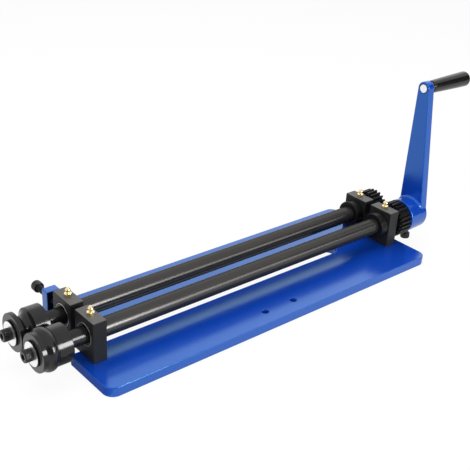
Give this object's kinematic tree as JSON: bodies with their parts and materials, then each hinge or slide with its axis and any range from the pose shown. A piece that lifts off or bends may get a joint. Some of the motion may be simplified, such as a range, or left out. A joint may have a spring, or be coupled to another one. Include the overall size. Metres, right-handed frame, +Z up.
{
  "type": "bead roller",
  "caption": "Hand cranked bead roller: geared shafts in bearing blocks on a slotted frame plate, forming dies at one end and a crank with a turning grip at the other.",
  "frame": {"origin": "on the underside of the frame plate, midway between the stand bolt holes", "axes": "+X along the shafts from the dies to the crank, +Y across the plate from the stand holes to the adjuster, +Z up from the plate to the shafts"},
  "size_m": [0.7046, 0.187, 0.2307],
  "materials": {
    "blue_paint": "gloss blue powder coat",
    "shaft_steel": "dark ground steel",
    "die_steel": "dark satin turned steel",
    "block_black": "matt black",
    "gear_black": "black oxide",
    "screw_black": "black oxide",
    "zinc": "bright zinc plate",
    "bush_steel": "oil filled sintered steel",
    "nipple_brass": "pale yellow plated brass",
    "grip_black": "gloss black"
  },
  "bodies": {
    "frame": {"frame_plate": "blue_paint", "adjuster_bracket": "blue_paint", "lower_front_block": "block_black", "lower_front_bush": "bush_steel", "lower_front_grease_nipple": "nipple_brass", "lower_rear_block": "block_black", "lower_rear_bush": "bush_steel", "lower_rear_grease_nipple": "nipple_brass", "lower_front_block_screw_1": "screw_black", "lower_front_block_screw_2": "screw_black", "lower_rear_block_screw_1": "screw_black", "lower_rear_block_screw_2": "screw_black"},
    "upper_carriage": {"upper_front_block": "block_black", "upper_front_bush": "bush_steel", "upper_front_grease_nipple": "nipple_brass", "upper_rear_block": "block_black", "upper_rear_bush": "bush_steel", "upper_rear_grease_nipple": "nipple_brass", "upper_front_clamp_screw": "screw_black", "upper_front_clamp_washer": "zinc", "upper_rear_pivot_screw": "screw_black"},
    "lower_spindle": {"lower_shaft": "shaft_steel", "lower_die": "die_steel", "lower_die_key": "shaft_steel", "lower_die_washer": "zinc", "lower_die_screw": "screw_black", "lower_shaft_collar": "block_black", "lower_collar_grub_screw": "screw_black", "lower_gear": "gear_black", "lower_gear_key": "shaft_steel", "crank_arm": "blue_paint", "crank_set_screw": "screw_black", "handle_spindle": "zinc"},
    "upper_spindle": {"upper_shaft": "shaft_steel", "upper_die": "die_steel", "upper_die_key": "shaft_steel", "upper_die_washer": "zinc", "upper_die_screw": "screw_black", "upper_shaft_collar": "block_black", "upper_collar_grub_screw": "screw_black", "upper_gear": "gear_black", "upper_gear_key": "shaft_steel", "upper_gear_circlip": "screw_black"},
    "grip": {"handle_grip": "grip_black"},
    "adjuster": {"adjusting_screw": "screw_black"}
  },
  "joints": [
    {"name": "upper_carriage_swing", "type": "hinge", "parent": "frame", "child": "upper_carriage", "pos_m": [0.2355, 0.092, 0.012], "axis": [0, 0, 1], "range_deg": [-0.36494, 0.19464]},
    {"name": "lower_spindle_turn", "type": "hinge", "parent": "frame", "child": "lower_spindle", "pos_m": [0, 0.046, 0.04], "axis": [1, 0, 0], "continuous": true},
    {"name": "upper_spindle_turn", "type": "hinge", "parent": "upper_carriage", "child": "upper_spindle", "pos_m": [0, 0.092, 0.04], "axis": [1, 0, 0], "continuous": true},
    {"name": "grip_turn", "type": "hinge", "parent": "lower_spindle", "child": "grip", "pos_m": [0.35, 0.05576, 0.22024], "axis": [1, 0, 0], "continuous": true},
    {"name": "adjusting_screw_turn", "type": "hinge", "parent": "upper_carriage", "child": "adjuster", "pos_m": [-0.2355, 0.1105, 0.04], "axis": [0, -1, 0], "range_deg": [-864.5, 461.3]}
  ],
  "couplings": [
    {"joint": "upper_spindle_turn", "follows": "lower_spindle_turn", "ratio": -1},
    {"joint": "adjusting_screw_turn", "follows": "upper_carriage_swing", "ratio": 2367.5}
  ]
}
